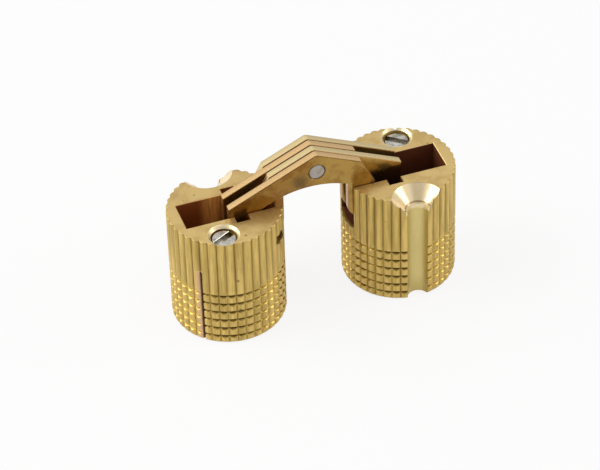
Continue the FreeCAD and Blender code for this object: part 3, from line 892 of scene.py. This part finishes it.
def makePlate(node, name, shape, body, turned):
    # the outline carried through the plate's thickness, drawn in a little at both faces, and three holes
    low, high = (corner[1] for corner in boxMm(node))
    if turned:
        low, high = -high, -low
    outline, ownPivot = plateOutline(shape)
    along = np.roll(outline, -1) - outline
    along = along / np.abs(along)
    area = np.sum(np.imag(np.conj(outline) * np.roll(outline, -1)))
    inward = 1j * along * np.sign(area)
    before = np.roll(inward, 1)
    miter = (inward + before) / (1 + np.real(inward * np.conj(before)))
    y, inset = bothRims(low, high, shape["edge"], 4)
    rim = outline + inset[:, None] * miter
    rings = np.stack([rim.real, np.broadcast_to(y[:, None], rim.shape), rim.imag], axis=-1)
    piece = addSolid(name, closedTube(rings))
    flare = shape["holeFlare"]
    wider = np.array([flare, 0, 0, flare])
    holeY = np.array([low - flare / 2, low + flare / 2, high - flare / 2, high + flare / 2])
    holes = [(centerPlace, shape["centerHole"]), (ownPivot, shape["pivotHole"]),
             (slidePlace, shape["slideHole"])]
    cutAway(piece, [crossTurned(radius + wider, holeY, place, shape["holeColumns"])
                    for place, radius in holes])
    finishPiece(piece, linkMaterial, body, node, turned=turned)


linkMaterial = linkBrass(linkFinish)
makePlate("link_a_outer_plate", "linkAOuterPlate", plateShape, "link_a", False)
makePlate("link_a_inner_plate", "linkAInnerPlate", plateShape, "link_a", False)
makePlate("link_b_inner_plate", "linkBInnerPlate", plateShape, "link_b", True)
makePlate("link_b_outer_plate", "linkBOuterPlate", plateShape, "link_b", True)
print("link plates: 4")


# Studio: pale floor, soft lamps, and white surroundings that are dimmer where the rings' flanks mirror them

studio = {
    "floorSize": 3.0, "floorPaper": 0.9, "floorWhite": 0.84, "floorMirrored": 0.6,
    "roomLow": 0.55, "roomHigh": 0.95, "roomRise": (0.0, 0.7), "roomDiffuse": 0.42,
    "roomFront": 0.3, "frontSide": (-0.235, -0.717, 0.656), "frontSpread": (0.82, 0.95),
    "lampAim": (0, 0, 0.01),
    "lamps": [((-0.72, 0.14, 0.60), 0.60, 3.6), ((0.76, -0.25, 0.42), 0.45, 1.6),  # place, size, power
              ((-0.66, 0.60, 0.36), 0.60, 2.4), ((0.1, -0.2, 0.9), 0.5, 1.4)],
}


def lightPaths(tree):
    # whether a ray comes from the camera, and whether from a mirroring or clear surface
    path = addNode(tree, "ShaderNodeLightPath").outputs
    mirrored = mathNode(tree, "MAXIMUM", path["Is Glossy Ray"], path["Is Transmission Ray"])
    return path["Is Camera Ray"], mirrored


def makeFloor(look):
    size = look["floorSize"]
    mesh = bpy.data.meshes.new("floor")
    corners = [(-size, -size, 0), (size, -size, 0), (size, size, 0), (-size, size, 0)]
    mesh.from_pydata(corners, [], [(0, 1, 2, 3)])
    floor = addObject("floor", mesh)
    material = bpy.data.materials.new("paleFloor")
    material.use_nodes = True
    tree = material.node_tree
    tree.nodes.clear()
    paper = addNode(tree, "ShaderNodeBsdfDiffuse", {"Color": (*[look["floorPaper"]] * 3, 1)})
    white = addNode(tree, "ShaderNodeEmission", {"Color": (1, 1, 1, 1), "Strength": 1.0})
    seen, mirrored = lightPaths(tree)
    share = mathNode(tree, "ADD", product(tree, seen, look["floorWhite"]),
                     product(tree, mirrored, look["floorMirrored"]))
    mixed = addNode(tree, "ShaderNodeMixShader", {0: share, 1: paper.outputs[0], 2: white.outputs[0]})
    output = addNode(tree, "ShaderNodeOutputMaterial")
    tree.links.new(mixed.outputs[0], output.inputs[0])
    mesh.materials.append(material)


def makeRoom(look):
    world = bpy.data.worlds.new("room")
    bpy.context.scene.world = world
    world.use_nodes = True
    tree = world.node_tree
    tree.nodes.clear()
    coords = addNode(tree, "ShaderNodeTexCoord").outputs["Generated"]
    upward = addNode(tree, "ShaderNodeSeparateXYZ", {"Vector": coords}).outputs["Z"]
    towards = addNode(tree, "ShaderNodeVectorMath", {0: coords, 1: look["frontSide"]},
                      operation="DOT_PRODUCT")
    level = product(tree, rangeNode(tree, upward, *look["roomRise"], look["roomLow"], look["roomHigh"]),
                    rangeNode(tree, towards.outputs["Value"], *look["frontSpread"], 1.0, look["roomFront"]))
    seen, mirrored = lightPaths(tree)
    above = mathNode(tree, "SUBTRACT", level, look["roomDiffuse"])
    strength = mathNode(tree, "ADD", product(tree, mirrored, above), look["roomDiffuse"])
    strength = mathNode(tree, "MAXIMUM", strength, seen)
    background = addNode(tree, "ShaderNodeBackground", {"Color": (1, 1, 1, 1), "Strength": strength})
    output = addNode(tree, "ShaderNodeOutputWorld")
    tree.links.new(background.outputs[0], output.inputs[0])


def makeLamps(look):
    for index, (place, size, power) in enumerate(look["lamps"]):
        lamp = bpy.data.lights.new("softLamp%d" % index, "AREA")
        lamp.shape = "DISK"
        lamp.size = size
        lamp.energy = power
        holder = addObject(lamp.name, lamp)
        direction = np.array(look["lampAim"]) - np.array(place)
        holder.location = place
        holder.rotation_euler = Vector(direction).to_track_quat("-Z", "Y").to_euler()


makeFloor(studio)
makeRoom(studio)
makeLamps(studio)
print("studio: floor, room, %d lamps" % len(studio["lamps"]))


# Camera at the photograph's viewing angle

view = {"azimuth": 18.170, "elevation": 40.971, "roll": -1.870, "distance": 0.374275,
        "slide": (0.001368, -0.005908), "lens": 189.777, "sensor": 36.0, "nearest": 0.01}


def makeCamera(look):
    # looks along forward, from where the hinge's middle at the top faces' level lies at slide and distance
    azimuth, elevation, roll = (math.radians(look[name]) for name in ("azimuth", "elevation", "roll"))
    level = math.cos(elevation)
    right = np.array([math.cos(azimuth), -math.sin(azimuth), 0])
    forward = np.array([math.sin(azimuth) * level, math.cos(azimuth) * level, -math.sin(elevation)])
    down = np.cross(forward, right)
    tiltedRight = math.cos(roll) * right - math.sin(roll) * down
    tiltedDown = math.sin(roll) * right + math.cos(roll) * down
    eye = -(look["slide"][0] * tiltedRight + look["slide"][1] * tiltedDown + look["distance"] * forward)
    eye = eye + np.array([0, 0, topLevel * mm])
    lens = bpy.data.cameras.new("photoView")
    lens.sensor_width = look["sensor"]
    lens.sensor_fit = "HORIZONTAL"
    lens.lens = look["lens"]
    lens.clip_start = look["nearest"]
    camera = addObject("photoView", lens)
    matrix = np.eye(4)
    matrix[:3] = np.stack([tiltedRight, -tiltedDown, -forward, eye], axis=1)
    camera.matrix_world = Matrix(matrix.tolist())
    bpy.context.scene.camera = camera


makeCamera(view)
bpy.context.scene.view_settings.view_transform = "Standard"
print("camera: set")

bpy.context.view_layer.update()
